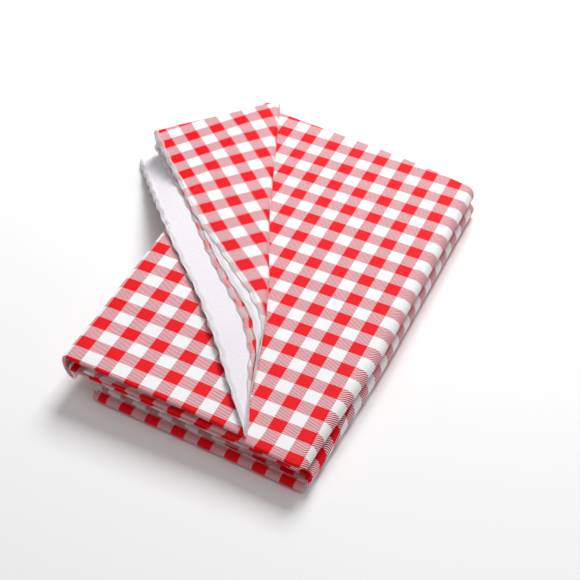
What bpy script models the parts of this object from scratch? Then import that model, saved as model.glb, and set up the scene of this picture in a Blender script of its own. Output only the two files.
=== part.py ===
"""Folded gingham tablecloth: a flannel-backed printed sheet, folded into a flat packet.

The cloth is halved twice across its width into a run of four plies, the run is
doubled along most of its length, and the doubled run is folded to and fro into
four thick leaves. The last stretch, four plies deep, lies on top as the top
leaf, and its free end is turned back along a slanting crease.

X runs across the packet, Y along it, and Z up from the flat underside, in metres.
The origin is the middle of the underside of the four thick leaves.

Every piece starts as its flat pattern, a prism with its outline in plan, and is
then bent round the folds that it reaches, as the cloth itself is.
"""

import math
from dataclasses import dataclass, field

import bmesh
import bpy
from mathutils import Vector

# ---------------------------------------------------------------- cloth sizes
PACKET_LENGTH = 0.381  # one quarter of the 1.524 m wide cloth, along Y
PACKET_WIDTH = 0.238  # from the top fold at the left to the lower fold at the right
RUN_THICKNESS = 0.0036  # four plies pressed together
PLY_THICKNESS = 0.0007  # one ply where the plies are modelled apart
CLEARANCE = 0.0003  # between neighbouring layers
NEAR_EDGE_RADIUS = 0.0015  # rounding of the folded near edge of each run
NEAR_EDGE_LIMIT = 0.45  # most that the rounding may take of a run's thickness
NEAR_EDGE_SEGMENTS = 2
BEND_STEPS = 4  # straight steps in a quarter bend

# ------------------------------------------------------- where the folds stand
WIDTH_OFFSET_X = 0.002  # the packet reaches this much further left than right
UPPER_RIGHT_INSET = 0.002  # fold of leaves 3 and 4, inside the fold of leaves 1 and 2
MIDDLE_LEFT_INSET = 0.007  # fold of leaves 2 and 3, inside the top fold
BOTTOM_LEFT_INSET = 0.015  # doubling fold of the bottom leaf, inside the top fold
TOP_LEAF_SHIFT_Y = 0.018  # the top leaf lies a little further back

# ------------------------------------------------- the turned-back end in plan
CREASE_FAR_INSET_X = 0.0175  # from the top fold to where the crease leaves the far edge
CREASE_FAR_INSET_Y = 0.0035  # and from the top leaf's far edge
FREE_EDGE_NEAR_INSET = 0.064  # free end of the top leaf, laid flat, from the upper
FREE_EDGE_FAR_INSET = 0.079  # right fold, at the near edge and at the far edge
CREASE_INNER_RADIUS = 0.0023  # inside radius of the innermost ply at the crease
DROOP_OFFSET = 0.0005  # past the top fold by this, the turned end starts to hang down
DROOP_RADIUS = 0.030
DROOP_DEGREES = (2.0, 3.0, 5.0, 24.0)  # for plies 1 to 4
STITCH_WIDTH = 0.0014  # overlock thread round the free edge

# ------------------------------------------------------------------- the counts
LEAF_COUNT = 4
PLY_COUNT = 4
LOWER_RIGHT_SEAM = 2  # runs under the level where leaves 1 and 2 are folded together
UPPER_RIGHT_SEAM = 6  # and leaves 3 and 4
MIDDLE_LEFT_SEAM = 4  # and leaves 2 and 3
BOTTOM_LEFT_SEAM = 1  # and the two runs of the bottom leaf
TOP_FOLD_RUN = 7  # the run that turns up round the free run to become the top leaf

# -------------------------------------------------------------- derived levels
RUN_PITCH = RUN_THICKNESS + CLEARANCE
PLY_PITCH = PLY_THICKNESS + CLEARANCE
LEAF_PITCH = 2 * RUN_PITCH
TOP_LEAF_Z = LEAF_COUNT * LEAF_PITCH
CREASE_OUTER_RADIUS = CREASE_INNER_RADIUS + PLY_COUNT * PLY_PITCH - CLEARANCE
CREASE_Z = TOP_LEAF_Z + CREASE_OUTER_RADIUS  # centre of the crease's bend
NEAR_Y = -PACKET_LENGTH / 2
FAR_Y = PACKET_LENGTH / 2
TOP_NEAR_Y = NEAR_Y + TOP_LEAF_SHIFT_Y
TOP_FAR_Y = FAR_Y + TOP_LEAF_SHIFT_Y
LOWER_RIGHT_FOLD_X = PACKET_WIDTH / 2 - WIDTH_OFFSET_X
UPPER_RIGHT_FOLD_X = LOWER_RIGHT_FOLD_X - UPPER_RIGHT_INSET
TOP_LEFT_FOLD_X = -PACKET_WIDTH / 2 - WIDTH_OFFSET_X
MIDDLE_LEFT_FOLD_X = TOP_LEFT_FOLD_X + MIDDLE_LEFT_INSET
BOTTOM_LEFT_FOLD_X = TOP_LEFT_FOLD_X + BOTTOM_LEFT_INSET
FREE_EDGE_NEAR_X = UPPER_RIGHT_FOLD_X - FREE_EDGE_NEAR_INSET
FREE_EDGE_FAR_X = UPPER_RIGHT_FOLD_X - FREE_EDGE_FAR_INSET
DROOP_START_X = TOP_LEFT_FOLD_X - DROOP_OFFSET
CREASE_FAR = Vector((TOP_LEFT_FOLD_X + CREASE_FAR_INSET_X, TOP_FAR_Y - CREASE_FAR_INSET_Y))
CREASE_NEAR = Vector((FREE_EDGE_NEAR_X, TOP_NEAR_Y))  # it ends at the free edge's corner

# Directions along the crease, and across it towards +X.
CREASE_ALONG = (CREASE_NEAR - CREASE_FAR).normalized()
CREASE_ACROSS = Vector((-CREASE_ALONG.y, CREASE_ALONG.x))

# The joints' axes: the upper leaves open to the right like a cover, about a line at
# half the packet's height, so that they land on the table; the turned-back end
# opens about a line just outside the crest of its crease.
PACKET_HEIGHT = CREASE_Z + CREASE_OUTER_RADIUS + CLEARANCE
LEAF_AXIS = Vector((LOWER_RIGHT_FOLD_X + CLEARANCE, 0, PACKET_HEIGHT / 2))
CREASE_AXIS = (CREASE_FAR + CREASE_ACROSS * CLEARANCE).to_3d()
CREASE_AXIS.z = CREASE_Z + CLEARANCE / 2

PRINT_COLOUR = (0.84, 0.30, 0.33, 1.0)
FLANNEL_COLOUR = (0.93, 0.91, 0.92, 1.0)
THREAD_COLOUR = (0.95, 0.94, 0.93, 1.0)
RUN_ROUGHNESS = 0.32
TOP_LEAF_ROUGHNESS = 0.34
TURNED_ROUGHNESS = 0.40
THREAD_ROUGHNESS = 0.80
JOINT_MARK_SIZE = 0.02
SHARP_ANGLE = math.radians(30)
SMALL = 1e-6  # two lengths closer than this are the same


@dataclass
class Bend:
    """A fold: the sheet past the tangent line turns about an axis beside it."""

    start: Vector  # a plan point on the tangent line
    outward: Vector  # plan direction in which the sheet runs into the bend
    centre_z: float
    degrees: float
    steps: int = BEND_STEPS


@dataclass
class Sheet:
    """A flat pattern: its outline in plan, its underside, and its bends."""

    name: str
    outline: list
    bottom: float
    thickness: float
    colour: tuple
    roughness: float
    bends: list = field(default_factory=list)
    rounded_near_y: float | None = None

    @property
    def middle(self):
        return self.bottom + self.thickness / 2


def clear_scene():
    for item in list(bpy.data.objects):
        bpy.data.objects.remove(item, do_unlink=True)


def make_material(name, colour, roughness):
    material = bpy.data.materials.new(name)
    material.use_nodes = True
    shader = material.node_tree.nodes["Principled BSDF"]
    shader.inputs["Base Color"].default_value = colour
    shader.inputs["Roughness"].default_value = roughness
    shader.inputs["Metallic"].default_value = 0.0
    material.diffuse_color = colour
    return material


def bend_length(sheet_middle, centre_z, degrees):
    """Length of cloth, at the middle of its thickness, that a bend takes up."""
    return abs(sheet_middle - centre_z) * math.radians(degrees)


def make_prism(mesh, sheet):
    """The flat pattern as a closed prism, its near edge rounded where it is folded."""
    corners = [mesh.verts.new((x, y, sheet.bottom)) for x, y in sheet.outline]
    base = mesh.faces.new(corners)
    raised = bmesh.ops.extrude_face_region(mesh, geom=[base])["geom"]
    lifted = [item for item in raised if isinstance(item, bmesh.types.BMVert)]
    bmesh.ops.translate(mesh, verts=lifted, vec=(0, 0, sheet.thickness))
    bmesh.ops.recalc_face_normals(mesh, faces=mesh.faces[:])
    if sheet.rounded_near_y is None:
        return
    near = [
        edge
        for edge in mesh.edges
        if all(abs(vert.co.y - sheet.rounded_near_y) < SMALL for vert in edge.verts)
        and abs(edge.verts[0].co.z - edge.verts[1].co.z) < SMALL
    ]
    radius = min(NEAR_EDGE_RADIUS, NEAR_EDGE_LIMIT * sheet.thickness)
    bmesh.ops.bevel(
        mesh, geom=near, offset=radius, offset_type="OFFSET", affect="EDGES",
        segments=NEAR_EDGE_SEGMENTS, profile=0.5, material=-1,
    )


def apply_bend(mesh, sheet, bend):
    """Cut the flat pattern across the bend into steps, then turn it about the axis."""
    radius = abs(sheet.middle - bend.centre_z)
    angle = math.radians(bend.degrees)
    reach = radius * angle
    side = 1.0 if sheet.middle > bend.centre_z else -1.0
    out = Vector((bend.outward.x, bend.outward.y, 0))
    origin = Vector((bend.start.x, bend.start.y, 0))
    for step in range(bend.steps + 1):
        here = origin + out * (reach * step / bend.steps)
        everything = mesh.verts[:] + mesh.edges[:] + mesh.faces[:]
        bmesh.ops.bisect_plane(mesh, geom=everything, dist=SMALL, plane_co=here, plane_no=out)
    for vert in mesh.verts:
        past = (vert.co - origin).dot(out)
        if past <= 0:
            continue
        turned = min(past / radius, angle)
        rest = max(past - reach, 0.0)
        lever = (vert.co.z - bend.centre_z) * side
        across = lever * math.sin(turned) + rest * math.cos(turned)
        height = lever * math.cos(turned) - rest * math.sin(turned)
        flat = vert.co - out * past
        vert.co = Vector((flat.x, flat.y, 0)) + out * across
        vert.co.z = bend.centre_z + side * height


def make_joint(name, place, parent=None):
    """An empty on a joint's axis, which carries the pieces that the joint moves."""
    joint = bpy.data.objects.new(name, None)
    joint.empty_display_size = JOINT_MARK_SIZE
    joint.location = place if parent is None else place - parent.location
    joint.parent = parent
    bpy.context.scene.collection.objects.link(joint)
    return joint


def build_sheet(sheet, joint=None, joint_place=None):
    """Model one piece from its flat pattern, with its origin on its joint's axis."""
    mesh = bmesh.new()
    make_prism(mesh, sheet)
    for bend in sheet.bends:
        apply_bend(mesh, sheet, bend)
    bmesh.ops.triangulate(mesh, faces=mesh.faces[:])
    if joint is not None:
        bmesh.ops.translate(mesh, verts=mesh.verts[:], vec=-joint_place)
    data = bpy.data.meshes.new(sheet.name)
    mesh.to_mesh(data)
    mesh.free()
    data.materials.append(make_material(sheet.name, sheet.colour, sheet.roughness))
    item = bpy.data.objects.new(sheet.name, data)
    item.parent = joint
    bpy.context.scene.collection.objects.link(item)
    data.shade_smooth()
    data.set_sharp_from_angle(angle=SHARP_ANGLE)
    return item


# ------------------------------------------------------------ the thick leaves
def run_bottom(number):
    """Underside of a run; runs are counted from 1 at the bottom."""
    return (number - 1) * RUN_PITCH


def fold_end(number, line_x, fold_z):
    """Where a run's end lies in its flat pattern, and its quarter bend to a fold.

    line_x is the fold's outermost line and fold_z the level at which its two
    halves meet; the half bends stop half a clearance short of that level.
    """
    middle = run_bottom(number) + RUN_THICKNESS / 2
    towards = 1.0 if line_x > 0 else -1.0
    above = 1.0 if middle > fold_z else -1.0
    centre_z = fold_z + above * CLEARANCE / 2
    outer_radius = fold_radius(fold_z)
    start_x = line_x - towards * outer_radius
    end_x = start_x + towards * bend_length(middle, centre_z, 90)
    bend = Bend(Vector((start_x, 0)), Vector((towards, 0)), centre_z, 90)
    return end_x, bend


def fold_radius(fold_z):
    """Outer radius of the fold whose halves meet at fold_z."""
    if abs(fold_z - seam_level(BOTTOM_LEFT_SEAM)) < SMALL:
        return RUN_THICKNESS + CLEARANCE / 2
    if abs(fold_z - top_fold_level()) < SMALL:
        return fold_z - run_bottom(TOP_FOLD_RUN)
    return 2 * RUN_PITCH - CLEARANCE / 2


def seam_level(lower_run):
    """Level midway between a run and the next one up."""
    return lower_run * RUN_PITCH - CLEARANCE / 2


def top_fold_level():
    """Level at which leaf 4's lower run, turned up, meets the top leaf, turned down."""
    lowest = run_bottom(TOP_FOLD_RUN)
    highest = TOP_LEAF_Z + PLY_COUNT * PLY_PITCH - CLEARANCE
    return (lowest + highest) / 2


def make_run(number, name):
    """One run of a thick leaf, bent at each end towards the run that it joins."""
    lower_half = number <= MIDDLE_LEFT_SEAM
    right_level = seam_level(LOWER_RIGHT_SEAM if lower_half else UPPER_RIGHT_SEAM)
    right_line = LOWER_RIGHT_FOLD_X if lower_half else UPPER_RIGHT_FOLD_X
    right_x, right_bend = fold_end(number, right_line, right_level)
    bends = [right_bend]
    if number <= LOWER_RIGHT_SEAM:
        left_line, left_level = BOTTOM_LEFT_FOLD_X, seam_level(BOTTOM_LEFT_SEAM)
    elif number < TOP_FOLD_RUN:
        left_line, left_level = MIDDLE_LEFT_FOLD_X, seam_level(MIDDLE_LEFT_SEAM)
    else:
        left_line, left_level = TOP_LEFT_FOLD_X, top_fold_level()
    if number <= TOP_FOLD_RUN:
        left_x, left_bend = fold_end(number, left_line, left_level)
        bends.append(left_bend)
    else:
        left_x = left_line + fold_radius(left_level) + CLEARANCE
    outline = [(left_x, NEAR_Y), (right_x, NEAR_Y), (right_x, FAR_Y), (left_x, FAR_Y)]
    bottom = run_bottom(number)
    return Sheet(
        name, outline, bottom, RUN_THICKNESS, PRINT_COLOUR, RUN_ROUGHNESS, bends, NEAR_Y
    )


# ----------------------------------------- the top leaf and its turned-back end
def crease_line_x(offset, y):
    """X at which the line parallel to the crease, offset across it, reaches y."""
    return CREASE_FAR.x + (offset - (y - CREASE_FAR.y) * CREASE_ACROSS.y) / CREASE_ACROSS.x


def cross_lines(a, b, c, d):
    """Plan point where the line through a and b meets the line through c and d."""
    along, other = b - a, d - c
    share = (c - a).cross(other) / along.cross(other)
    return a + along * share


def free_edge():
    """The two plan ends of the top leaf's free edge, as it lies before it is turned."""
    return Vector((FREE_EDGE_NEAR_X, TOP_NEAR_Y)), Vector((FREE_EDGE_FAR_X, TOP_FAR_Y))


def crease_tangent():
    """A plan point on the line where the flat top leaf starts to rise into its bend."""
    return CREASE_FAR - CREASE_ACROSS * CREASE_OUTER_RADIUS


def ply_bottom(ply):
    """Underside of a ply of the top leaf; ply 1 is the lowest."""
    return TOP_LEAF_Z + (ply - 1) * PLY_PITCH


def half_bend(ply):
    """Length of cloth that a ply uses from the tangent line to the crest of the crease."""
    return bend_length(ply_bottom(ply) + PLY_THICKNESS / 2, CREASE_Z, 90)


def crest_points(ply):
    """Where the crest of the crease cuts the far edge and the free edge, laid flat."""
    offset = half_bend(ply) - CREASE_OUTER_RADIUS
    low = Vector((crease_line_x(offset, TOP_NEAR_Y), TOP_NEAR_Y))
    high = Vector((crease_line_x(offset, TOP_FAR_Y), TOP_FAR_Y))
    return high, cross_lines(low, high, *free_edge())


def make_top_leaf_ply(ply):
    """The flat part of a ply, from the left fold up to the crest of the crease."""
    bottom = ply_bottom(ply)
    level = top_fold_level()
    centre_z = level + CLEARANCE / 2
    start_x = TOP_LEFT_FOLD_X + fold_radius(level)
    left_x = start_x - bend_length(bottom + PLY_THICKNESS / 2, centre_z, 90)
    far_crest, near_crest = crest_points(ply)
    outline = [
        (left_x, TOP_NEAR_Y),
        (FREE_EDGE_NEAR_X, TOP_NEAR_Y),
        tuple(near_crest),
        tuple(far_crest),
        (left_x, TOP_FAR_Y),
    ]
    bends = [
        Bend(Vector((start_x, 0)), Vector((-1, 0)), centre_z, 90),
        Bend(crease_tangent(), CREASE_ACROSS, CREASE_Z, 90),
    ]
    colour = FLANNEL_COLOUR if ply in (2, 3) else PRINT_COLOUR
    name = f"top_leaf_ply_{ply}"
    return Sheet(name, outline, bottom, PLY_THICKNESS, colour, TOP_LEAF_ROUGHNESS, bends)


def turn_over(point, ply):
    """Plan place of a flat point once it is past the crease and lies turned back."""
    across = (point - CREASE_FAR).dot(CREASE_ACROSS)
    moved = 2 * half_bend(ply) - 2 * CREASE_OUTER_RADIUS - 2 * across
    return point + CREASE_ACROSS * moved


def turned_bottom(ply):
    """Underside of a ply once it is turned back; ply 1 is now the highest."""
    return 2 * CREASE_Z + CLEARANCE - ply_bottom(ply) - PLY_THICKNESS


def turned_bends(ply):
    """The droop over the packet's side, then the half bend down to the crest."""
    bottom = turned_bottom(ply)
    droop = DROOP_DEGREES[ply - 1]
    return [
        Bend(Vector((DROOP_START_X, 0)), Vector((-1, 0)), bottom - DROOP_RADIUS, droop),
        Bend(crease_tangent(), CREASE_ACROSS, CREASE_Z + CLEARANCE, 90),
    ]


def make_turned_ply(ply):
    """The part of a ply past the crest of the crease, turned back over the leaf."""
    far_crest, near_crest = crest_points(ply)
    corner = free_edge()[1]
    outline = [tuple(turn_over(point, ply)) for point in (far_crest, near_crest, corner)]
    colour = PRINT_COLOUR if ply in (1, 3) else FLANNEL_COLOUR
    return Sheet(
        f"turned_end_ply_{ply}", outline, turned_bottom(ply), PLY_THICKNESS, colour,
        TURNED_ROUGHNESS, turned_bends(ply),
    )


def make_edge_stitching(ply):
    """The overlock thread along the free edge of a turned-back ply."""
    near_crest = turn_over(crest_points(ply)[1], ply)
    corner = turn_over(free_edge()[1], ply)
    along = (corner - near_crest).normalized()
    outward = Vector((-along.y, along.x))
    if outward.dot(CREASE_ACROSS) > 0:
        outward = -outward
    inner, outer = outward * CLEARANCE, outward * (CLEARANCE + STITCH_WIDTH)
    outline = [
        tuple(near_crest + inner),
        tuple(corner + inner),
        tuple(corner + outer),
        tuple(near_crest + outer),
    ]
    return Sheet(
        f"edge_stitching_{ply}", outline, turned_bottom(ply), PLY_THICKNESS, THREAD_COLOUR,
        THREAD_ROUGHNESS, turned_bends(ply),
    )


def main():
    clear_scene()
    leaf_fold = make_joint("leaf_fold_axis", LEAF_AXIS)
    crease = make_joint("crease_axis", CREASE_AXIS, leaf_fold)
    for index, leaf in enumerate(("bottom_leaf", "second_leaf", "third_leaf", "fourth_leaf")):
        carrier = (leaf_fold, LEAF_AXIS) if leaf == "fourth_leaf" else (None, None)
        build_sheet(make_run(2 * index + 1, f"{leaf}_lower_run"), *carrier)
        build_sheet(make_run(2 * index + 2, f"{leaf}_upper_run"), *carrier)
    for ply in range(1, PLY_COUNT + 1):
        build_sheet(make_top_leaf_ply(ply), leaf_fold, LEAF_AXIS)
        build_sheet(make_turned_ply(ply), crease, CREASE_AXIS)
        build_sheet(make_edge_stitching(ply), crease, CREASE_AXIS)


main()
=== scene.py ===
"""Folded gingham tablecloth: printed vinyl on brushed flannel, folded into a packet.

The whole cloth is one strip of four plies, bent to and fro. Each piece is a grid laid
out flat, bent round the folds that it reaches, and given its thickness. Lengths are in
metres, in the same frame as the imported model.
"""

from __future__ import annotations

import logging
import math
from collections.abc import Callable
from dataclasses import dataclass, field
from enum import Enum

import bmesh
import bpy
from mathutils import Matrix, Vector, noise


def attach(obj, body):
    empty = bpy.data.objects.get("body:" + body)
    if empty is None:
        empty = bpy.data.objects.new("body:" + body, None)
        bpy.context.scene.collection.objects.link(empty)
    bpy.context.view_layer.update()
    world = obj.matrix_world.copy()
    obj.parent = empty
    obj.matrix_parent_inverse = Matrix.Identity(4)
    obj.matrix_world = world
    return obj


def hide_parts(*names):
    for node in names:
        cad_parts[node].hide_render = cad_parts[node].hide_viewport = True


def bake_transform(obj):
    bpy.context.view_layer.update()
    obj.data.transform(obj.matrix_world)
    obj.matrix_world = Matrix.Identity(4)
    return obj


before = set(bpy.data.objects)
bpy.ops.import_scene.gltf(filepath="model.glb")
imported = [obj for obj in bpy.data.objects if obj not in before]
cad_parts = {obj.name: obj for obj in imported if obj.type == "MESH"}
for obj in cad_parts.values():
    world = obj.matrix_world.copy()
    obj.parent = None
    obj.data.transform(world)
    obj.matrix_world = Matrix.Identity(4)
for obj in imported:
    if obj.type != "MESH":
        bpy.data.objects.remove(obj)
log = logging.getLogger("tablecloth")

CHECK = 0.0254  # repeat of the gingham
CLOTH_WIDTH = 1.524  # of the whole cloth, which is folded to four plies
RUN_THICKNESS = 0.0036  # of four plies
RUN_PITCH = 0.0039
NEAR_Y = -0.1852  # the packet's near edge at x = 0
NEAR_SLOPE = 0.050  # how much nearer it lies for each metre to the right
FAR_Y = 0.1906
FAR_SLOPE = 0.075
FAR_ROUNDING = 0.5  # how fast the far edge curves in towards the right
TOP_THICKNESS = 0.0037
TOP_LEAF_Z = 0.0312  # underside of the top leaf
CREASE_Z = 0.0372  # the crease's line, which the plies are bent round
CORNER_X, CORNER_Y = -0.1035, 0.205  # the packet's far left corner
CREASE_FAR = Vector((CORNER_X, CORNER_Y))
CREASE_NEAR = Vector((0.051, -0.1725))
CREASE_RADIUS = 0.006
STACK = "leaf_stack"
DRAPE_X = -0.116  # the turned end is cut here, where it leaves the packet
SHARP_ANGLE = math.radians(55)
BROAD_SWELL = (14.0, 0.42)  # swells per metre, and how much they count
FINE_SWELL = (45.0, 0.14)


def smooth(value: float) -> float:
    """Ease from 0 to 1 as value goes from 0 to 1."""
    value = min(max(value, 0.0), 1.0)
    return value * value * (3 - 2 * value)


def mix(a: float, b: float, share: float) -> float:
    """The value a share of the way from a to b."""
    return a + (b - a) * share


def read_curve(points: list[tuple[float, float]], at: float) -> float:
    """Read a smooth curve through points sorted by their first number.

    Args:
        points: (place, value) pairs, in rising order of place.
        at: the place to read.

    Returns:
        The value there, held level past either end.
    """
    if at <= points[0][0]:
        return points[0][1]
    for (x0, v0), (x1, v1) in zip(points, points[1:]):
        if at <= x1:
            share = (at - x0) / (x1 - x0)
            return mix(v0, v1, smooth(share) * 0.5 + share * 0.5)
    return points[-1][1]


def swell(x: float, y: float) -> float:
    """How far the cloth lies proud of flat at a plan point, from 0 to 1."""
    broad = noise.noise(Vector((x * BROAD_SWELL[0], y * BROAD_SWELL[0], 0.0)))
    fine = noise.noise(Vector((x * FINE_SWELL[0], y * FINE_SWELL[0], 5.0)))
    return min(max(0.5 + BROAD_SWELL[1] * broad + FINE_SWELL[1] * fine, 0.0), 1.0)


def near_edge(x: float) -> float:
    """Y of the packet's near edge."""
    return NEAR_Y - NEAR_SLOPE * x


def far_edge(x: float) -> float:
    """Y of the packet's far edge, before it rounds off."""
    return FAR_Y - FAR_SLOPE * x


# ------------------------------------------------------------------ shader maths
class Value:
    """A shader socket, or a number, that Python's operators can work on."""

    def __init__(self, shader: "Shader", socket: object) -> None:
        """Wrap a socket of a shader's tree."""
        self.shader = shader
        self.socket = socket

    def math(self, operation: str, *others: object) -> "Value":
        """Add a Math node on this value and others, and return its output."""
        node = self.shader.node(
            "ShaderNodeMath", {"operation": operation}, dict(enumerate((self, *others)))
        )
        return Value(self.shader, node.outputs[0])

    def __add__(self, other: object) -> "Value":
        """Sum."""
        return self.math("ADD", other)

    def __sub__(self, other: object) -> "Value":
        """Difference."""
        return self.math("SUBTRACT", other)

    def __rsub__(self, other: object) -> "Value":
        """Difference from a number."""
        return (self * -1.0) + other

    def __mul__(self, other: object) -> "Value":
        """Product."""
        return self.math("MULTIPLY", other)

    def __truediv__(self, other: object) -> "Value":
        """Quotient."""
        return self.math("DIVIDE", other)

    def fraction(self) -> "Value":
        """The part after the point."""
        return self.math("FRACT")

    def size(self) -> "Value":
        """The value without its sign."""
        return self.math("ABSOLUTE")

    def held(self) -> "Value":
        """The value held between 0 and 1."""
        node = self.shader.node("ShaderNodeClamp", {}, {"Value": self})
        return Value(self.shader, node.outputs[0])


class Shader:
    """One material's node tree, built from plain calls."""

    def __init__(self, name: str) -> None:
        """Make an empty material with a Principled surface."""
        self.material = bpy.data.materials.new(name)
        self.material.use_nodes = True
        self.tree = self.material.node_tree
        self.surface = self.tree.nodes["Principled BSDF"]

    def node(self, kind: str, settings: dict, inputs: dict) -> bpy.types.Node:
        """Add a node.

        Args:
            kind: the node's type name.
            settings: properties to set first.
            inputs: values, wrapped sockets or colours by socket name or index.

        Returns:
            The node.
        """
        made = self.tree.nodes.new(kind)
        for key, value in settings.items():
            setattr(made, key, value)
        for key, value in inputs.items():
            self.feed(made.inputs[key], value)
        return made

    def feed(self, socket: bpy.types.NodeSocket, value: object) -> None:
        """Link a wrapped socket to a socket, or set a plain value on it."""
        if isinstance(value, Value):
            self.tree.links.new(value.socket, socket)
        elif isinstance(value, (tuple, list)) and socket.type == "RGBA":
            socket.default_value = (*value[:3], 1.0)
        else:
            socket.default_value = value

    def place(self, kind: str) -> tuple["Value", "Value", "Value", "Value"]:
        """A coordinate output, as a vector and as its three numbers."""
        node = self.node("ShaderNodeTexCoord", {}, {})
        whole = Value(self, node.outputs[kind])
        parts = self.node("ShaderNodeSeparateXYZ", {}, {0: whole})
        return (whole, *(Value(self, output) for output in parts.outputs))

    def noise(self, where: "Value", scale: float, detail: float = 3.0) -> "Value":
        """Cloudy noise on a coordinate, about 0 to 1."""
        node = self.node(
            "ShaderNodeTexNoise", {}, {"Vector": where, "Scale": scale, "Detail": detail}
        )
        return Value(self, node.outputs[0])

    def blend(self, share: object, first: object, second: object) -> "Value":
        """Mix two colours by a share."""
        node = self.node("ShaderNodeMix", {"data_type": "RGBA"}, {0: share, 6: first, 7: second})
        return Value(self, node.outputs[2])

    def relief(self, height: "Value", strength: float, distance: float) -> None:
        """Feed a height into the surface's normal."""
        node = self.node(
            "ShaderNodeBump",
            {},
            {"Height": height, "Strength": strength, "Distance": distance},
        )
        self.feed(self.surface.inputs["Normal"], Value(self, node.outputs[0]))

    def set(self, **constants: object) -> None:
        """Set constants on the surface, with _ for a space in a socket's name."""
        for key, value in constants.items():
            self.feed(self.surface.inputs[key.replace("_", " ")], value)


@dataclass(frozen=True)
class GinghamVinyl:
    """The printed face: red stripes both ways, hatched where one crosses white."""

    red: tuple = (0.88, 0.002, 0.009)
    hatch_red: tuple = (0.58, 0.020, 0.060)
    white: tuple = (0.93, 0.92, 0.93)
    worn_red: tuple = (0.70, 0.002, 0.012)
    dull_white: tuple = (0.83, 0.81, 0.84)
    stripe_u: float = 0.725  # places of the stripes' middles, as shares of the repeat
    stripe_v: float = 0.800
    stripe_sharpness: float = 90.0
    hatch_pitch: float = 0.00135
    hatch_half: float = 0.31  # half the share of the pitch that a line covers
    hatch_sharpness: float = 7.0
    weave_pitch: float = 0.0009
    roughness: float = 0.52
    unevenness: float = 0.16  # of the roughness

    def stripe(self, coordinate: Value, middle: float) -> Value:
        """1 on the stripes that run across a coordinate, 0 between them."""
        away = ((coordinate / CHECK + (0.5 - middle)).fraction() - 0.5).size()
        return ((0.25 - away) * self.stripe_sharpness + 0.5).held()

    def build(self) -> bpy.types.Material:
        """Make the material."""
        shader = Shader("gingham_vinyl")
        where, u, v, _ = shader.place("UV")
        across = self.stripe(u, self.stripe_u)
        along = self.stripe(v, self.stripe_v)
        both = across * along
        one = across + along - both * 2.0
        slope = (u - v) / (self.hatch_pitch * math.sqrt(2))
        from_line = (slope.fraction() - 0.5).size()
        line = ((self.hatch_half - from_line) * self.hatch_sharpness + 0.5).held()
        blotch = shader.noise(where, 900.0, 2.0)
        ground = shader.blend(blotch * 0.10, self.white, self.dull_white)
        hatched = shader.blend(line, ground, self.hatch_red)
        red = shader.blend(blotch * 0.35, self.red, self.worn_red)
        colour = shader.blend(one, ground, hatched)
        colour = shader.blend(both, colour, red)
        shader.feed(shader.surface.inputs["Base Color"], colour)
        rough = shader.noise(where, 320.0, 2.0) * self.unevenness
        rough = rough + (self.roughness - self.unevenness / 2)
        shader.feed(shader.surface.inputs["Roughness"], rough)
        threads = math.tau / self.weave_pitch
        weave = (u * threads).math("SINE") * (v * threads).math("SINE")
        creasing = shader.noise(where, 60.0, 4.0)
        shader.relief(weave * 0.12 + creasing * 1.6, 0.5, 0.0006)
        shader.set(Specular_IOR_Level=0.10)
        return shader.material


@dataclass(frozen=True)
class BrushedFlannel:
    """The white backing, short fibres brushed up from a soft knit."""

    colour: tuple = (0.93, 0.90, 0.935)
    shade: tuple = (0.80, 0.75, 0.82)
    knit_pitch: float = 0.0016

    def build(self) -> bpy.types.Material:
        """Make the material."""
        shader = Shader("brushed_flannel")
        where, u, _, _ = shader.place("UV")
        fuzz = shader.noise(where, 1500.0, 4.0)
        clumps = shader.noise(where, 260.0, 3.0)
        wear = shader.noise(where, 28.0, 2.0)
        share = (fuzz * 0.5 + clumps * 0.5 + wear * 0.35 - 0.38).held()
        shader.feed(
            shader.surface.inputs["Base Color"], shader.blend(share, self.colour, self.shade)
        )
        rows = (u * (math.tau / self.knit_pitch)).math("SINE") * 0.15
        shader.relief(fuzz + clumps * 0.8 + rows, 0.55, 0.0005)
        shader.feed(shader.surface.inputs["Roughness"], fuzz * 0.1 + 0.86)
        shader.set(Sheen_Weight=0.25, Sheen_Roughness=0.6)
        return shader.material


@dataclass(frozen=True)
class OverlockThread:
    """White spun thread, with its twist."""

    colour: tuple = (0.97, 0.955, 0.965)
    shade: tuple = (0.86, 0.78, 0.80)
    twist_pitch: float = 0.0008

    def build(self) -> bpy.types.Material:
        """Make the material."""
        shader = Shader("overlock_thread")
        where, x, y, z = shader.place("Object")
        twist = ((x + y * 1.3 + z * 0.7) * (math.tau / self.twist_pitch)).math("SINE")
        lint = shader.noise(where, 1400.0, 3.0)
        shader.feed(
            shader.surface.inputs["Base Color"],
            shader.blend((lint - 0.30).held(), self.colour, self.shade),
        )
        shader.relief(twist * 0.4 + lint, 0.3, 0.0002)
        shader.feed(shader.surface.inputs["Roughness"], lint * 0.12 + 0.74)
        return shader.material


@dataclass(frozen=True)
class PaleFloor:
    """A plain matt white table under the packet."""

    colour: tuple = (0.95, 0.95, 0.95)
    shade: tuple = (0.90, 0.90, 0.91)

    def build(self) -> bpy.types.Material:
        """Make the material."""
        shader = Shader("pale_floor")
        where, _, _, _ = shader.place("Object")
        grain = shader.noise(where, 40.0, 3.0)
        shader.feed(
            shader.surface.inputs["Base Color"],
            shader.blend(grain * 0.06, self.colour, self.shade),
        )
        shader.feed(shader.surface.inputs["Roughness"], grain * 0.05 + 0.7)
        return shader.material


# -------------------------------------------------------------- the cloth itself
class Part(Enum):
    """The stretches that a run's cross-section is made of, from its upper hem on."""

    PLY_4 = "outer ply from its hem to the near edge"
    OUTER_NOSE = "round the near edge"
    PLY_1 = "outer ply back to the far edge"
    FAR_FOLD = "round the far edge"
    PLY_2 = "inner ply to the near edge"
    INNER_NOSE = "round inside the near edge"
    PLY_3 = "inner ply back to its hem"


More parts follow.
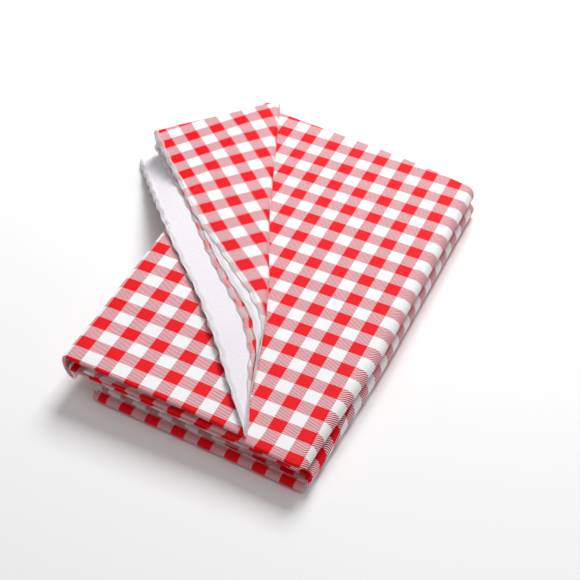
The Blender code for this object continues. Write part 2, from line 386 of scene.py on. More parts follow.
@dataclass(frozen=True)
class Row:
    """One line of the cross-section: a stretch and how far along it, from 0 to 1."""

    part: Part
    share: float


@dataclass
class CrossSection:
    """The four plies across a run, drawn as one line from hem to hem."""

    heights: tuple  # of the plies' middles, above the run's underside
    cloth: float = 0.00062
    flat_rows: int = 22
    turn_rows: int = 7
    hem_4: float = 0.0015  # how far the outer ply's hem lies in from the far edge
    hem_3: float = 0.0042
    nose_gap: float = 0.0014  # between the near edge's outer and inner roundings
    bunching: float = 0.75  # how much the lines crowd towards a stretch's ends

    def rows(self) -> list[Row]:
        """List the lines of the cross-section, each stretch sharing its ends."""
        found = [Row(Part.PLY_4, 0.0)]
        turns = (Part.OUTER_NOSE, Part.FAR_FOLD, Part.INNER_NOSE)
        for part in Part:
            steps = self.turn_rows if part in turns else self.flat_rows
            for step in range(1, steps + 1):
                share = step / steps
                if part not in turns:
                    share = mix(share, (1 - math.cos(math.pi * share)) / 2, self.bunching)
                found.append(Row(part, share))
        return found

    def at(self, row: Row, near: float, far: float, depth: float) -> tuple:
        """Where a row lies.

        Args:
            row: the line of the cross-section.
            near: y of the near edge.
            far: y of the far edge.
            depth: how deep the near edge's rounding is.

        Returns:
            y, the height above the underside, and the print's own length coordinate.
        """
        low, second, third, high = self.heights
        nose_y = near + depth + self.cloth / 2
        inner_y = nose_y + max(depth - self.nose_gap, 0.0)
        far_radius = (second - low) / 2
        far_y = far - far_radius - self.cloth / 2
        nose_arc = math.pi * math.sqrt((depth**2 + ((high - low) / 2) ** 2) / 2)
        after_nose = nose_y - nose_arc
        after_ply_1 = after_nose - (far_y - nose_y)
        after_far = after_ply_1 - math.pi * far_radius
        after_ply_2 = after_far - (far_y - inner_y)
        inner_arc = math.pi * (third - second) / 2
        angle = math.pi * row.share
        match row.part:
            case Part.PLY_4:
                y = mix(far - self.hem_4, nose_y, row.share)
                return y, high, y
            case Part.OUTER_NOSE:
                middle, radius = (high + low) / 2, (high - low) / 2
                return (
                    nose_y - depth * math.sin(angle),
                    middle + radius * math.cos(angle),
                    nose_y - nose_arc * row.share,
                )
            case Part.PLY_1:
                y = mix(nose_y, far_y, row.share)
                return y, low, after_nose - (y - nose_y)
            case Part.FAR_FOLD:
                middle = (low + second) / 2
                return (
                    far_y + far_radius * math.sin(angle),
                    middle - far_radius * math.cos(angle),
                    after_ply_1 - math.pi * far_radius * row.share,
                )
            case Part.PLY_2:
                y = mix(far_y, inner_y, row.share)
                return y, second, after_far - (far_y - y)
            case Part.INNER_NOSE:
                middle, radius = (second + third) / 2, (third - second) / 2
                return (
                    inner_y - radius * math.sin(angle),
                    middle - radius * math.cos(angle),
                    after_ply_2 - inner_arc * row.share,
                )
        y = mix(inner_y, far - self.hem_3, row.share)
        return y, third, after_ply_2 - inner_arc - (y - inner_y)


@dataclass(frozen=True)
class Turn:
    """A half-turn that joins one layer of the strip to the next."""

    tangent_x: float
    level: float
    side: int  # 1 at the right, -1 at the left


@dataclass(frozen=True)
class Station:
    """A line across the strip: its middle, its upward side, and what it is part of."""

    layer: float
    x: float
    z: float
    normal_x: float
    normal_z: float
    print_u: float
    pull: float  # share of the right edge's slant that it takes
    slack: float  # the slant's share in the print's coordinate
    turning: float  # from 0 on a flat stretch to 1 at the crest of a turn


class Cloth:
    """What every piece of cloth shares: making a flat grid, laying its print, and giving it
    thickness.
    """

    def __init__(self, vinyl: bpy.types.Material, flannel: bpy.types.Material) -> None:
        """Keep the two faces' finishes."""
        self.vinyl = vinyl
        self.flannel = flannel

    def grid(self, columns: int, rows: int) -> tuple[bmesh.types.BMesh, dict]:
        """A flat grid.

        Args:
            columns: how many lines of points across.
            rows: how many lines of points along.

        Returns:
            The mesh, and the column and row of each of its points.
        """
        mesh = bmesh.new()
        bmesh.ops.create_grid(mesh, x_segments=columns - 1, y_segments=rows - 1, size=0.5)
        where = {
            vert: (
                round((vert.co.x + 0.5) * (columns - 1)),
                round((vert.co.y + 0.5) * (rows - 1)),
            )
            for vert in mesh.verts
        }
        return mesh, where

    def lay_print(self, mesh: bmesh.types.BMesh, prints: dict) -> None:
        """Write the print's coordinates on each face's corners."""
        layer = mesh.loops.layers.uv.new("print")
        for face in mesh.faces:
            for loop in face.loops:
                loop[layer].uv = prints[loop.vert]

    def thicken(self, mesh: bmesh.types.BMesh, thickness: float) -> None:
        """Give a sheet its flannel face, half the thickness to each side, and its rim.

        Args:
            mesh: the sheet's middle, with its print laid on.
            thickness: how far apart the two faces lie.
        """
        mesh.normal_update()
        moves = {vert: vert.normal * (thickness / 2) for vert in mesh.verts}
        printed = set(mesh.faces)
        rim = [edge.link_loops[0] for edge in mesh.edges if edge.is_boundary]
        everything = mesh.verts[:] + mesh.edges[:] + mesh.faces[:]
        backs = bmesh.ops.duplicate(mesh, geom=everything)["vert_map"]
        for vert, move in moves.items():
            backs[vert].co -= move
            vert.co += move
        bmesh.ops.reverse_faces(mesh, faces=[face for face in mesh.faces if face not in printed])
        layer = mesh.loops.layers.uv.active
        for loop in rim:
            here, ahead = loop.vert, loop.link_loop_next.vert
            uvs = [loop.link_loop_next[layer].uv.copy(), loop[layer].uv.copy()]
            face = mesh.faces.new((ahead, here, backs[here], backs[ahead]))
            for corner, uv in zip(face.loops, (*uvs, *reversed(uvs))):
                corner[layer].uv = uv
        for face in mesh.faces:
            face.material_index = 0 if face in printed else 1
            face.smooth = True

    def finish(
        self, mesh: bmesh.types.BMesh, name: str, thickness: float, outward: Vector
    ) -> bpy.types.Object:
        """Turn a bent grid into a piece of cloth with two faces.

        Args:
            mesh: the grid, already bent.
            name: the piece's name.
            thickness: the cloth's.
            outward: direction that the highest face's printed side looks.

        Returns:
            The piece.
        """
        mesh.normal_update()
        highest = max(mesh.faces, key=lambda face: face.calc_center_median().z)
        if highest.normal.dot(outward) < 0:
            bmesh.ops.reverse_faces(mesh, faces=mesh.faces[:])
        self.thicken(mesh, thickness)
        data = bpy.data.meshes.new(name)
        mesh.to_mesh(data)
        mesh.free()
        data.materials.append(self.vinyl)
        data.materials.append(self.flannel)
        data.set_sharp_from_angle(angle=SHARP_ANGLE)
        piece = bpy.data.objects.new(name, data)
        bpy.context.scene.collection.objects.link(piece)
        log.info("%s: %d triangles", name, sum(len(p.vertices) - 2 for p in data.polygons))
        return piece


def wind_thread(
    name: str, points: list[Vector], radius: float, thread: bpy.types.Material
) -> bpy.types.Object:
    """A fine round thread through points, as a mesh.

    Args:
        name: the piece's name.
        points: places along it.
        radius: half its thickness.
        thread: its finish.

    Returns:
        The piece.
    """
    curve = bpy.data.curves.new(name + "_line", "CURVE")
    curve.dimensions = "3D"
    curve.bevel_depth, curve.bevel_resolution = radius, 0
    curve.use_fill_caps = True
    spline = curve.splines.new("POLY")
    spline.points.add(len(points) - 1)
    for place, point in zip(points, spline.points):
        point.co = (*place, 1.0)
    line = bpy.data.objects.new(name + "_line", curve)
    bpy.context.scene.collection.objects.link(line)
    bpy.context.view_layer.update()
    shown = line.evaluated_get(bpy.context.evaluated_depsgraph_get())
    data = bpy.data.meshes.new_from_object(shown)
    bpy.data.objects.remove(line)
    data.name = name
    data.materials.clear()
    data.materials.append(thread)
    data.shade_smooth()
    piece = bpy.data.objects.new(name, data)
    bpy.context.scene.collection.objects.link(piece)
    log.info("%s: %d faces", name, len(data.polygons))
    return piece


@dataclass
class LeafStack:
    """The four thick leaves: eight runs of the strip, folded to and fro."""

    cloth: Cloth
    order: tuple = (8, 5, 4, 1, 2, 3, 6, 7)  # the runs, from the strip's hidden end
    hidden_end_x: float = -0.114
    turns: tuple = (
        Turn(0.10735, 0.02325, 1),
        Turn(-0.10635, 0.01545, -1),
        Turn(0.10935, 0.00765, 1),
        Turn(-0.10225, 0.00375, -1),
        Turn(0.10935, 0.00765, 1),
        Turn(-0.10635, 0.01545, -1),
        Turn(0.10735, 0.02325, 1),
    )
    last_x: float = -0.11525  # where run 7 rises into the fold to the top leaf
    set_back: dict = field(  # how far each run lies back from the near edge
        default_factory=lambda: {
            1: 0.0,
            2: 0.0095,
            3: 0.0120,
            4: 0.0135,
            5: 0.0150,
            6: 0.0120,
            7: 0.0030,
            8: 0.0032,
        }
    )
    far_in: dict = field(  # and how far in from the far edge
        default_factory=lambda: {
            1: 0.004,
            2: 0.002,
            3: 0.006,
            4: 0.003,
            5: 0.005,
            6: 0.001,
            7: 0.003,
            8: 0.0,
        }
    )
    rise: dict = field(default_factory=lambda: {8: 0.00022, 7: 0.00010})  # of the runs' swells
    nose_depth: float = 0.0015
    bottom_nose_depth: float = 0.0046
    bottom_bulge: float = 1.30  # how much thicker the bottom run is at its near edge
    bottom_bulge_reach: float = 0.022
    bottom_print_u: float = -0.0061  # how far the bottom run's print has slipped
    bottom_print_v: float = 0.0045
    slant_lower: float = -0.0058  # how far the right edge leans in at its near end
    slant_upper: float = -0.0085
    slant_level: float = 0.0146  # the height between the two
    corner_in: float = 0.0125  # how far the near left corner is drawn in
    corner_reach: float = 0.060
    print_pace: dict = field(default_factory=lambda: {0: 0.6})  # on turns where the cloth gathers
    flat_columns: int = 27
    turn_columns: int = 10
    section: CrossSection = field(
        default_factory=lambda: CrossSection((0.00045, 0.00135, 0.00225, 0.00315))
    )

    def stations(self) -> list[Station]:
        """List the lines across the strip, from its hidden end to the top fold."""
        found: list[Station] = []
        print_u = self.hidden_end_x
        here = self.hidden_end_x
        slack = 0.0
        for index, run in enumerate(self.order):
            middle = (run - 1) * RUN_PITCH + RUN_THICKNESS / 2
            up = 1.0 if run % 2 == 0 else -1.0
            turn = self.turns[index] if index < len(self.turns) else None
            end = turn.tangent_x if turn else self.last_x
            for step in range(0 if index == 0 else 1, self.flat_columns + 1):
                x = mix(here, end, step / self.flat_columns)
                pull = smooth((x - 0.02) / 0.085)
                taken = slack + (pull if up > 0 else 1 - pull)
                found.append(
                    Station(
                        index, x, middle, 0.0, up, print_u + abs(x - here), pull, taken, 0.0
                    )
                )
            print_u += abs(end - here)
            slack += 1.0 if turn and turn.side > 0 else 0.0
            if turn is None:
                break
            side_up = 1.0 if middle > turn.level else -1.0
            radius = abs(middle - turn.level)
            outer = radius + RUN_THICKNESS / 2 - self.section.heights[0]
            outer *= self.print_pace.get(index, 1.0)
            for step in range(1, self.turn_columns + 1):
                angle = math.pi * step / self.turn_columns
                out_x, out_z = turn.side * math.sin(angle), side_up * math.cos(angle)
                found.append(
                    Station(
                        index + step / self.turn_columns,
                        turn.tangent_x + radius * out_x,
                        turn.level + radius * out_z,
                        out_x * up * side_up,
                        out_z * up * side_up,
                        print_u + outer * angle,
                        1.0 if turn.side > 0 else 0.0,
                        slack,
                        math.sin(angle),
                    )
                )
            print_u += outer * math.pi
            here = turn.tangent_x
        return found

    def between(self, values: dict, layer: float) -> float:
        """A run's value, eased from one run to the next over the turn between them."""
        first = min(int(layer), len(self.order) - 1)
        second = min(first + 1, len(self.order) - 1)
        return mix(values[self.order[first]], values[self.order[second]], smooth(layer - first))

    def edges(self, layer: float, x: float) -> tuple[float, float]:
        """The near and far edges' y at a line across the strip."""
        near = near_edge(x) + self.between(self.set_back, layer)
        far = far_edge(x) - FAR_ROUNDING * max(x, 0.0) ** 2 - self.between(self.far_in, layer)
        return near, far

    def bottom_share(self, layer: float) -> float:
        """How much a line belongs to the bottom run, which bulges at its near edge."""
        return smooth(1 - abs(layer - self.order.index(1)))

    def place(self, station: Station, row: Row) -> tuple[Vector, tuple]:
        """Where a point of the grid goes, and its print coordinates.

        Args:
            station: the line across the strip that it is on.
            row: the line of the cross-section that it is on.

        Returns:
            The point, and the print's two coordinates there.
        """
        near, far = self.edges(station.layer, station.x)
        bottom = self.bottom_share(station.layer)
        depth = mix(self.nose_depth, self.bottom_nose_depth, bottom)
        y, height, print_v = self.section.at(row, near, far, depth)
        upper = smooth((station.z - self.slant_level + 0.001) / 0.004)
        slant = mix(self.slant_lower, self.slant_upper, upper) * smooth((-0.030 - y) / 0.155)
        off = height - RUN_THICKNESS / 2
        last = len(self.order) - 1
        corner = smooth(1 - (y - near) / self.corner_reach) * smooth((-0.080 - station.x) / 0.03)
        x = station.x + slant * station.pull + station.normal_x * off
        x += self.corner_in * corner * smooth(last - station.layer)
        bulge = self.bottom_bulge * bottom * smooth(1 - (y - near) / self.bottom_bulge_reach)
        z = (station.z + station.normal_z * off) * (1 + bulge)
        print_u = station.print_u + slant * station.slack + self.bottom_print_u * bottom
        print_v += (NEAR_SLOPE * x + self.bottom_print_v) * bottom
        if station.layer < 1:
            print_u += self.skew_at_nose(x, y - near) * (1 - station.layer)
        lift = self.rise.get(self.order[min(round(station.layer), last)], 0.0)
        z += lift * (1 - station.turning) * swell(x, y)
        return Vector((x, y, z)), (print_u, print_v)

    def skew_at_nose(self, x: float, inward: float) -> float:
        """How far the print has slipped where the top run rounds its near edge."""
        return smooth(1 - inward / 0.014) * CHECK * max(0.06 + 2.2 * (0.060 - x), 0.0)

    def build(self) -> bpy.types.Object:
        """Bend the grid into the stack, and dress it."""
        stations, rows = self.stations(), self.section.rows()
        mesh, where = self.cloth.grid(len(stations), len(rows))
        prints = {}
        for vert, (column, line) in where.items():
            vert.co, prints[vert] = self.place(stations[column], rows[line])
        self.cloth.lay_print(mesh, prints)
        piece = self.cloth.finish(mesh, STACK, self.section.cloth, Vector((0, 0, 1)))
        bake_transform(piece)
        leaves = ("bottom_leaf", "second_leaf", "third_leaf", "fourth_leaf")
        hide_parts(*(f"{leaf}_{run}_run" for leaf in leaves for run in ("lower", "upper")))
        length = stations[-1].print_u - stations[0].print_u
        return piece


class Stretch(Enum):
    """The pieces that the last stretch of the strip is made in."""

    LEAF = "top_leaf"
    CREASE = "turned_end"
    DRAPE = "turned_end_hanging"


@dataclass
class TopLeaf:
    """The last stretch of the strip: the top leaf and its turned-back end."""

    cloth: Cloth
    tangent_x: float = -0.11525  # where the fold from run 7 ends and the flat leaf starts
    fold_level: float = 0.02915
    fold_radius: float = 0.00395
    fold_print_radius: float = 0.0055  # which the print follows round the fold
    near_y: float = -0.1797  # the top leaf's own near edge at x = 0
    near_slope: float = 0.030
    far_slope: float = 0.050
    run_in: float = 0.0030  # how far run 7 lies in from the packet's edges
    far_short: float = 0.0035
    far_extra: float = 0.0165  # how much longer the turned end is at its corner
    free_edges: dict = field(  # x of each ply's free edge, at places along y
        default_factory=lambda: {
            Part.PLY_4: [
                (-0.176, 0.0525), (-0.124, 0.0512), (-0.072, 0.0484), (-0.029, 0.0462),
                (0.057, 0.0500), (0.205, 0.0480),
            ],
            Part.PLY_1: [
                (-0.176, 0.0525), (-0.136, 0.0349), (-0.075, 0.0180), (-0.039, 0.0187),
                (0.0115, 0.0218), (0.083, 0.0306), (0.199, 0.0335),
            ],
            Part.PLY_2: [
                (-0.176, 0.0525), (-0.136, 0.0360), (-0.100, 0.0262), (-0.061, 0.0225),
                (-0.028, 0.0240), (0.015, 0.0250), (0.063, 0.0255), (0.199, 0.0300),
            ],
            Part.PLY_3: [
                (-0.176, 0.0525), (-0.136, 0.0400), (-0.100, 0.0300), (-0.061, 0.0262),
                (-0.028, 0.0262), (0.015, 0.0265), (0.063, 0.0262), (0.199, 0.0300),
            ],
        }
    )
    print_shift: tuple = (  # how far the print has slipped along, in repeats
        (-0.110, -0.06), (-0.082, 0.055), (-0.054, 0.15), (-0.027, 0.22),
        (0.0, 0.275), (0.04, 0.30),
    )
    print_shift_v: float = 0.1  # and across the strip
    ply_1_skew: float = 0.085  # sine of the angle that ply 1's print lies askew
    ply_1_stretch: float = 0.968
    ply_1_shear: float = 0.060
    ply_1_middle: float = 0.075
    ply_1_offset: float = 0.004
    ply_1_u: float = 0.327  # where its print starts, in repeats
    ply_1_v: float = 0.877
    nose_depth: float = 0.0016
    loop_reach: float = 0.075
    loop_in: tuple = (  # how the top fold sags open at its near end, round the fold
        (0.0, 0.0), (0.08, 0.0040), (0.20, 0.0067), (0.35, 0.0035),
        (0.50, 0.0005), (0.70, -0.0020), (0.85, -0.0018), (1.0, 0.0),
    )
    loop_down: tuple = (
        (0.0, 0.0), (0.08, 0.0050), (0.20, 0.0105), (0.35, 0.0110),
        (0.50, 0.0070), (0.70, 0.0032), (0.85, 0.0010), (1.0, 0.0),
    )
    crease_roll: tuple = ((0.0, 0.0), (0.14, 0.0), (0.30, 0.0030), (0.40, 0.0))
    crease_belly: float = 0.0060  # how far the crease bows out, and where along it
    belly_middle: float = 0.275
    belly_reach: float = 0.125
    crease_steps: int = 15
    puff_left: float = 0.0030  # how far the leaf stands up at its left and near edges
    puff_near: float = 0.0026
    rise: float = 0.00055  # of the leaf's swells
    turned_rise: float = 0.35  # and of the turned end's, as a share of that
    hang_after: float = 0.0015  # how far past the cut the turned end starts to hang
    hang_top: float = 0.0445
    hang_radii: tuple = (0.11, 0.050)  # of the top and the bottom ply's bend
    hang_angles: tuple = (2.0, 31.0)  # degrees that they hang at
    hang_drop: float = 0.0012
    hang_floor: float = 0.0008
    ruffle: float = 0.0007  # of the free edges
    ruffle_pace: float = 310.0
    flat_columns: int = 44
    fold_columns: int = 20
    split_before: float = 0.006  # how far before the crease its own piece starts
    stitch_pitch: float = 0.0012
    stitch_reach: float = 0.0040
    stitch_over: float = 0.0004  # how far it goes past the edge
    stitch_rise: float = 0.00045
    stitch_radius: float = 0.0003
    stitch_points: int = 6  # in each turn of the thread
    stitch_starts: float = 0.004  # how far in from the near edge, and from the far one
    stitch_ends: float = 0.002
    threads: list = field(default_factory=list)
    section: CrossSection = field(
        default_factory=lambda: CrossSection(
            (0.00035, 0.00135, 0.00235, 0.00335), flat_rows=44, hem_3=0.0042
        )
    )

    def free_edge(self, row: Row, y: float) -> float:
        """X of the free edge, as it lies before it is turned back."""
        after = {
            Part.OUTER_NOSE: (Part.PLY_4, Part.PLY_1),
            Part.FAR_FOLD: (Part.PLY_1, Part.PLY_2),
            Part.INNER_NOSE: (Part.PLY_2, Part.PLY_3),
        }
        if row.part in after:
            first, second = after[row.part]
            one, other = (read_curve(self.free_edges[part], y) for part in (first, second))
            return mix(one, other, row.share)
        ruffle = self.ruffle * math.sin(y * self.ruffle_pace + 2 * len(row.part.value))
        return read_curve(self.free_edges[row.part], y) + ruffle * smooth((y + 0.17) / 0.05)

    def edges(self, x: float, turned: float) -> tuple[float, float]:
        """The near and far edges' y, from run 7 at turned 0 to the top leaf at 1."""
        past_corner = x - CORNER_X
        near = mix(near_edge(x) + self.run_in, self.near_y - self.near_slope * x, turned)
        far = mix(far_edge(x) - self.run_in, CORNER_Y - self.far_slope * past_corner, turned)
        far += turned * (self.far_extra * smooth(past_corner / 0.15) - self.far_short)
        return near, far

    def along(self) -> Vector:
        """Plan direction along the crease, towards the near edge."""
        return (CREASE_NEAR - CREASE_FAR).normalized()

    def across(self) -> Vector:
        """Plan direction across the crease, towards +X."""
        along = self.along()
        return Vector((-along.y, along.x))

    def fold_point(self, share: float, row: Row) -> tuple[Vector, tuple]:
        """Where a point lies on the fold that leads up from run 7.

        Args:
            share: how far round the fold, from 0 to 1.
            row: the line of the cross-section that it is on.

        Returns:
            The point, and the print's two coordinates there.
        """
        angle = math.pi * share
        near, far = self.edges(self.tangent_x, smooth(share))
        y, height, print_v = self.section.at(row, near, far, self.nose_depth)
        radius = self.fold_radius + height - TOP_THICKNESS / 2
        loose = smooth(1 - (y - near) / self.loop_reach)
        x = self.tangent_x - radius * math.sin(angle)
        x += loose * read_curve(self.loop_in, share)
        z = self.fold_level - radius * math.cos(angle)
        z -= loose * read_curve(self.loop_down, share)
        print_u = self.tangent_x - (math.pi - angle) * self.fold_print_radius
        print_u -= CHECK * self.print_shift[0][1]
        print_v -= CHECK * self.print_shift_v * smooth(share)
        return Vector((x, y, z)), (print_u, print_v)

    def flat_point(self, column: int, row: Row) -> tuple[Vector, tuple]:
        """Where a point of the grid lies before the end is turned back.

        Args:
            column: the grid's line across the strip.
            row: the line of the cross-section.

        Returns:
            The point, and the print's two coordinates there.
        """
        if column < self.fold_columns:
            return self.fold_point(column / self.fold_columns, row)
        step = (column - self.fold_columns) / self.flat_columns
        near, far = self.edges(0.0, 1.0)
        guess, _, _ = self.section.at(row, near, far, self.nose_depth)
        x = mix(self.tangent_x, self.free_edge(row, guess), step)
        near, far = self.edges(x, 1.0)
        y, height, print_v = self.section.at(row, near, far, self.nose_depth)
        place = Vector((x, y, TOP_LEAF_Z + height))
        print_u = x - CHECK * read_curve(self.print_shift, x)
        print_v -= CHECK * self.print_shift_v
        if row.part is Part.PLY_1:
            share = smooth((y - near) / 0.02)
            slipped_u, slipped_v = self.slipped_print(x, y)
            return place, (mix(print_u, slipped_u, share), mix(print_v, slipped_v, share))
        return place, (print_u, print_v)

    def slipped_print(self, x: float, y: float) -> tuple[float, float]:
        """The print's coordinates on ply 1, which lies a little askew under the others."""
        past = (Vector((x, y)) - CREASE_FAR).dot(self.across())
        pulled = self.ply_1_stretch * (y - self.ply_1_middle) + self.ply_1_middle
        pulled += self.ply_1_offset - self.ply_1_shear * max(past, 0.0)
        cosine = math.sqrt(1 - self.ply_1_skew**2)
        turned_u = x * cosine - pulled * self.ply_1_skew
        turned_v = pulled * cosine + x * self.ply_1_skew
        return turned_u + self.ply_1_u * CHECK, self.ply_1_v * CHECK - turned_v

    def cut_crease(self, mesh: bmesh.types.BMesh) -> None:
        """Cut the flat grid along the crease, so that it bends smoothly."""
        across = self.across()
        start = CREASE_FAR - across * CREASE_RADIUS
        reach = math.pi * CREASE_RADIUS
        for step in range(self.crease_steps + 1):
            here = start + across * (reach * step / self.crease_steps)
            everything = mesh.verts[:] + mesh.edges[:] + mesh.faces[:]
            bmesh.ops.bisect_plane(
                mesh,
                geom=everything,
                dist=1e-6,
                plane_co=here.to_3d(),
                plane_no=across.to_3d(),
            )

    def turn_back(self, place: Vector) -> Vector:
        """Move a point of the flat leaf to where the turned-back end puts it."""
        across, along = self.across(), self.along()
        tangent = CREASE_FAR - across * CREASE_RADIUS
        rel = place.to_2d() - tangent
        past = rel.dot(across)
        if past <= 0:
            return place.copy()
        length_on = rel.dot(along)
        radius = CREASE_Z - place.z
        angle = min(past / radius, math.pi)
        rest = max(past - radius * math.pi, 0.0)
        out = radius * math.sin(angle) - rest
        height = CREASE_Z - radius * math.cos(angle)
        plan = tangent + across * out + along * length_on
        share = angle / math.pi
        roll = read_curve(self.crease_roll, length_on)
        back = smooth(rest / 0.075)
        belly = smooth(1 - abs(length_on - self.belly_middle) / self.belly_reach)
        belly *= smooth(past / 0.010) * (1 - smooth(rest / 0.05))
        plan += across * (self.crease_belly * belly)
        height += roll * smooth(share * 1.3 - 0.3) * (1 - back)
        return Vector((plan.x, plan.y, height))

    def puff(self, place: Vector) -> float:
        """How far the flat leaf stands off the leaf below, most at its near left corner."""
        near, _ = self.edges(place.x, 1.0)
        left = self.puff_left * smooth((0.010 - place.x) / 0.120)
        edge = self.puff_near * smooth(1 - (place.y - near) / 0.065)
        edge *= smooth((0.045 - place.x) / 0.06)
        fold = smooth((place.z - self.fold_level + 0.006) / 0.008)
        return (left * smooth((0.12 - place.y) / 0.25) + edge) * fold

    def settle(self, flat: Vector) -> Vector:
        """Where a point of the flat leaf comes to rest."""
        place = self.turn_back(flat)
        lift = self.rise * swell(place.x, place.y)
        if self.is_turned(flat):
            return self.hang(place) + Vector((0, 0, lift * self.turned_rise))
        lift = lift * smooth((place.z - self.fold_level) / 0.002) + self.puff(place)
        return place + Vector((0, 0, lift))

    def is_turned(self, flat: Vector) -> bool:
        """Whether a flat point is past the start of the crease."""
        past = (flat.to_2d() - CREASE_FAR).dot(self.across()) + CREASE_RADIUS
        return past > 0

    def hang(self, place: Vector) -> Vector:
        """Let a turned-back point past the packet's side hang down towards the table."""
        start = DRAPE_X - self.hang_after
        past = start - place.x
        if past <= 0 or place.z < CREASE_Z - 0.0002:
            return place
        depth = smooth((self.hang_top - place.z) / 0.006)
        radius = mix(*self.hang_radii, depth)
        angle = min(past / radius, math.radians(mix(*self.hang_angles, depth)))
        rest = past - radius * angle
        x = start - radius * math.sin(angle) - rest * math.cos(angle)
        z = place.z - radius * (1 - math.cos(angle)) - rest * math.sin(angle)
        z -= self.hang_drop * smooth(past / 0.008)
        return Vector((x, place.y, max(z, self.hang_floor)))

    def bent_grid(self, stretch: Stretch) -> tuple[bmesh.types.BMesh, float, float]:
        """One stretch of the leaf, bent into shape.

        Args:
            stretch: which part of the leaf to keep.

        Returns:
            The mesh with its print coordinates, its cloth's area laid flat, and the
            greatest length of that along the strip.
        """
        rows = self.section.rows()
        columns = self.fold_columns + self.flat_columns + 1
        mesh, where = self.cloth.grid(columns, len(rows))
        prints = {}
        for vert, (column, line) in where.items():
            vert.co, prints[vert] = self.flat_point(column, rows[line])
        self.cloth.lay_print(mesh, prints)
        self.cut_crease(mesh)
        flat = mesh.verts.layers.float_vector.new("flat")
        for vert in mesh.verts:
            vert[flat] = vert.co
        self.keep(mesh, lambda face: self.is_leaf(face) == (stretch is Stretch.LEAF))
        if stretch is not Stretch.LEAF:
            self.cut_side(mesh, flat)
            self.keep(mesh, lambda face: self.is_outside(face) == (stretch is Stretch.DRAPE))
        for vert in mesh.verts:
            vert.co = vert[flat]
        area, length = self.laid_flat(mesh)
        for vert in mesh.verts:
            vert.co = self.settle(vert[flat])
        mesh.verts.layers.float_vector.remove(flat)
        if stretch is Stretch.LEAF:
            length += math.pi * self.fold_radius
        return mesh, area, length

    def keep(self, mesh: bmesh.types.BMesh, wanted: Callable) -> None:
        """Delete the faces that aren't wanted.

        Args:
            mesh: the mesh to cut down.
            wanted: says whether a face stays.
        """
        unwanted = [face for face in mesh.faces if not wanted(face)]
        bmesh.ops.delete(mesh, geom=unwanted, context="FACES")

    def is_leaf(self, face: bmesh.types.BMFace) -> bool:
        """Whether a flat face lies before the crease's own piece."""
        across = self.across()
        split = (CREASE_FAR - across * (CREASE_RADIUS + self.split_before)).dot(across)
        return face.calc_center_median().to_2d().dot(across) < split

    def is_outside(self, face: bmesh.types.BMFace) -> bool:
        """Whether a face that is turned back lies past the packet's left side."""
        return face.calc_center_median().x < DRAPE_X

    def cut_side(self, mesh: bmesh.types.BMesh, flat: object) -> None:
        """Turn the end back, and cut it where it leaves the packet's left side.

        Args:
            mesh: the crease and the turned end, still flat.
            flat: the layer that holds each vertex's flat place.
        """
        for vert in mesh.verts:
            vert.co = self.turn_back(vert.co)
        turned = [
            face for face in mesh.faces if all(self.is_turned(vert[flat]) for vert in face.verts)
        ]
        edges = {edge for face in turned for edge in face.edges}
        points = {vert for face in turned for vert in face.verts}
        bmesh.ops.bisect_plane(
            mesh,
            geom=list(points) + list(edges) + turned,
            dist=1e-6,
            plane_co=(DRAPE_X, 0, 0),
            plane_no=(1, 0, 0),
        )

    def laid_flat(self, mesh: bmesh.types.BMesh) -> tuple[float, float]:
        """A piece's area before it is turned back, and its length along the strip."""
        reach = [vert.co.x for vert in mesh.verts]
        return sum(face.calc_area() for face in mesh.faces), max(reach) - min(reach)

    def edge_point(self, part: Part, y: float, inward: float, up: float) -> Vector:
        """A point beside the free edge, at rest.

        Args:
            part: the ply.
            y: place along the edge, as it lies before it is turned.
            inward: distance from the edge, towards the leaf.
            up: height above the ply's middle, as it lies before it is turned.

        Returns:
            The point.
        """
        order = (Part.PLY_1, Part.PLY_2, Part.PLY_3, Part.PLY_4)
        height = self.section.heights[order.index(part)]
        x = self.free_edge(Row(part, 0.5), y) - inward
        return self.settle(Vector((x, y, TOP_LEAF_Z + height + up)))

    def stitching(self, number: int, part: Part, thread: bpy.types.Material) -> None:
        """Wind the overlock thread over a ply's free edge.

        Args:
            number: the ply's number, from the lowest before it is turned.
            part: the ply.
            thread: its finish.
        """
        near = self.edges(0.05, 1.0)[0] + self.stitch_starts
        far = self.edges(0.03, 1.0)[1] - self.stitch_ends
        steps = int((far - near) / self.stitch_pitch) * self.stitch_points
        beside, hanging = [], []
        for step in range(steps + 1):
            y = mix(near, far, step / steps)
            angle = math.tau * step / self.stitch_points
            uneven = noise.noise(Vector((y * 700, number, 0)))
            reach = self.stitch_reach + self.stitch_over * uneven
            inward = reach * (0.5 - 0.5 * math.cos(angle)) - self.stitch_over
            point = self.edge_point(part, y, inward, self.stitch_rise * math.sin(angle))
            (hanging if point.x < DRAPE_X else beside).append(point)
        for name, points in (("", beside), ("_hanging", hanging)):
            if len(points) < 2 * self.stitch_points:
                continue
            piece = wind_thread(f"edge_thread{name}_{number}", points, self.stitch_radius, thread)
            if name:
                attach(piece, "turned_end")
            else:
                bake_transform(piece)
                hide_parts(f"edge_stitching_{number}")
            self.threads.append(piece)

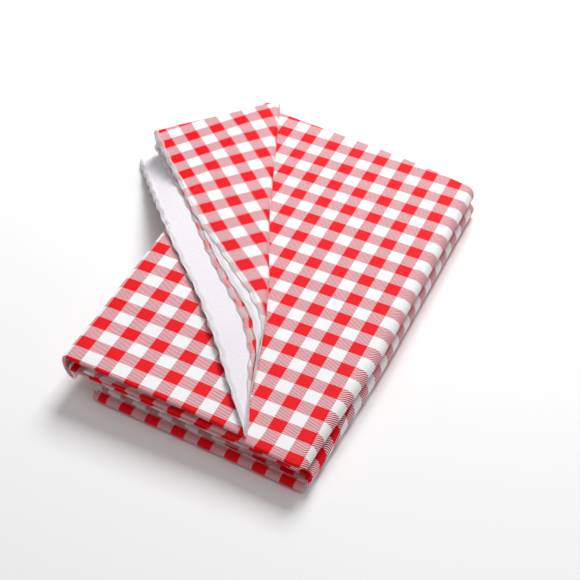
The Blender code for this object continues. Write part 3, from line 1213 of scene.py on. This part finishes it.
    def build(self, thread: bpy.types.Material) -> None:
        """Make the leaf, its crease, what hangs past the packet, and the stitching."""
        up = Vector((0, 0, 1))
        pieces, cuts = [], []
        for stretch in Stretch:
            mesh, area, length = self.bent_grid(stretch)
            pieces.append(self.cloth.finish(mesh, stretch.value, self.section.cloth, up))
            cuts.append((area, length))
        leaf, crease, drape = pieces
        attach(leaf, "upper_leaves")
        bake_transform(crease)
        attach(drape, "turned_end")
        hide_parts(*(f"top_leaf_ply_{ply}" for ply in range(1, 5)))
        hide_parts(*(f"turned_end_ply_{ply}" for ply in range(1, 5)))
        for number, part in enumerate((Part.PLY_1, Part.PLY_2, Part.PLY_3, Part.PLY_4), 1):
            self.stitching(number, part, thread)
        hanging = [piece for piece in self.threads if "hanging" in piece.name]
        beside = [piece for piece in self.threads if piece not in hanging]
        under = ([STACK], [leaf, STACK], [crease])
        for piece, (area, length), below, sewn in zip(pieces, cuts, under, ([], beside, hanging)):
            width = CLOTH_WIDTH if piece is leaf else min(CLOTH_WIDTH, 2 * area / length)
            log.info("%s: cut %.3f by %.3f m, %.4f sq m", piece.name, width, length, area)


@dataclass(frozen=True)
class Lamp:
    """A soft square lamp that faces the packet."""

    name: str
    place: tuple
    side: float
    power: float  # in watts

    def hang(self) -> None:
        """Hang it in its place."""
        light = bpy.data.lights.new(self.name, "AREA")
        light.shape, light.size, light.energy = "SQUARE", self.side, self.power
        lamp = bpy.data.objects.new(self.name, light)
        lamp.location = self.place
        lamp.rotation_euler = (-Vector(self.place)).to_track_quat("-Z", "Y").to_euler()
        bpy.context.scene.collection.objects.link(lamp)


@dataclass
class Studio:
    """The floor, the lights and the camera."""

    lamps: tuple = (
        Lamp("key", (-0.15, 1.30, 1.45), 0.9, 35.0),  # from behind the packet
        Lamp("top", (0.1, -0.1, 1.9), 1.2, 5.0),
    )
    surrounding_light: float = 0.29
    floor_reach: float = 4.0
    eye: tuple = (0.3675, -0.7606, 0.8991)
    looks_along: tuple = (-0.2959, 0.6204, -0.7263)
    right_hand: tuple = (0.9022, 0.43126, 0.0007)
    lens: float = 84.8

    def floor(self) -> None:
        """Lay a wide floor under the packet."""
        mesh = bmesh.new()
        bmesh.ops.create_grid(mesh, x_segments=4, y_segments=4, size=self.floor_reach)
        data = bpy.data.meshes.new("floor")
        mesh.to_mesh(data)
        mesh.free()
        data.materials.append(PaleFloor().build())
        ground = bpy.data.objects.new("floor", data)
        bpy.context.scene.collection.objects.link(ground)

    def camera(self) -> None:
        """Place the camera in front of the near right corner, looking down."""
        data = bpy.data.cameras.new("camera")
        data.lens = self.lens
        data.sensor_width = 36.0
        data.clip_start, data.clip_end = 0.05, 20.0
        camera = bpy.data.objects.new("camera", data)
        forward = Vector(self.looks_along).normalized()
        up = Vector(self.right_hand).cross(forward).normalized()
        right = forward.cross(up)
        turn = Matrix((right, up, -forward)).transposed().to_4x4()
        camera.matrix_world = Matrix.Translation(self.eye) @ turn
        bpy.context.scene.collection.objects.link(camera)
        bpy.context.scene.camera = camera

    def build(self) -> None:
        """Set up the studio."""
        self.floor()
        self.camera()
        world = bpy.data.worlds.new("studio")
        bpy.context.scene.world = world
        world.use_nodes = True
        background = world.node_tree.nodes["Background"]
        background.inputs["Color"].default_value = (1.0, 1.0, 1.0, 1.0)
        background.inputs["Strength"].default_value = self.surrounding_light
        bpy.context.scene.view_settings.view_transform = "Standard"
        for lamp in self.lamps:
            lamp.hang()


def main() -> None:
    """Build the tablecloth and its studio."""
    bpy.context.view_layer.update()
    Studio().build()
    cloth = Cloth(GinghamVinyl().build(), BrushedFlannel().build())
    LeafStack(cloth).build()
    TopLeaf(cloth).build(OverlockThread().build())


if __name__ == "__main__":
    logging.basicConfig(level=logging.INFO, format="%(name)s: %(message)s")
    main()
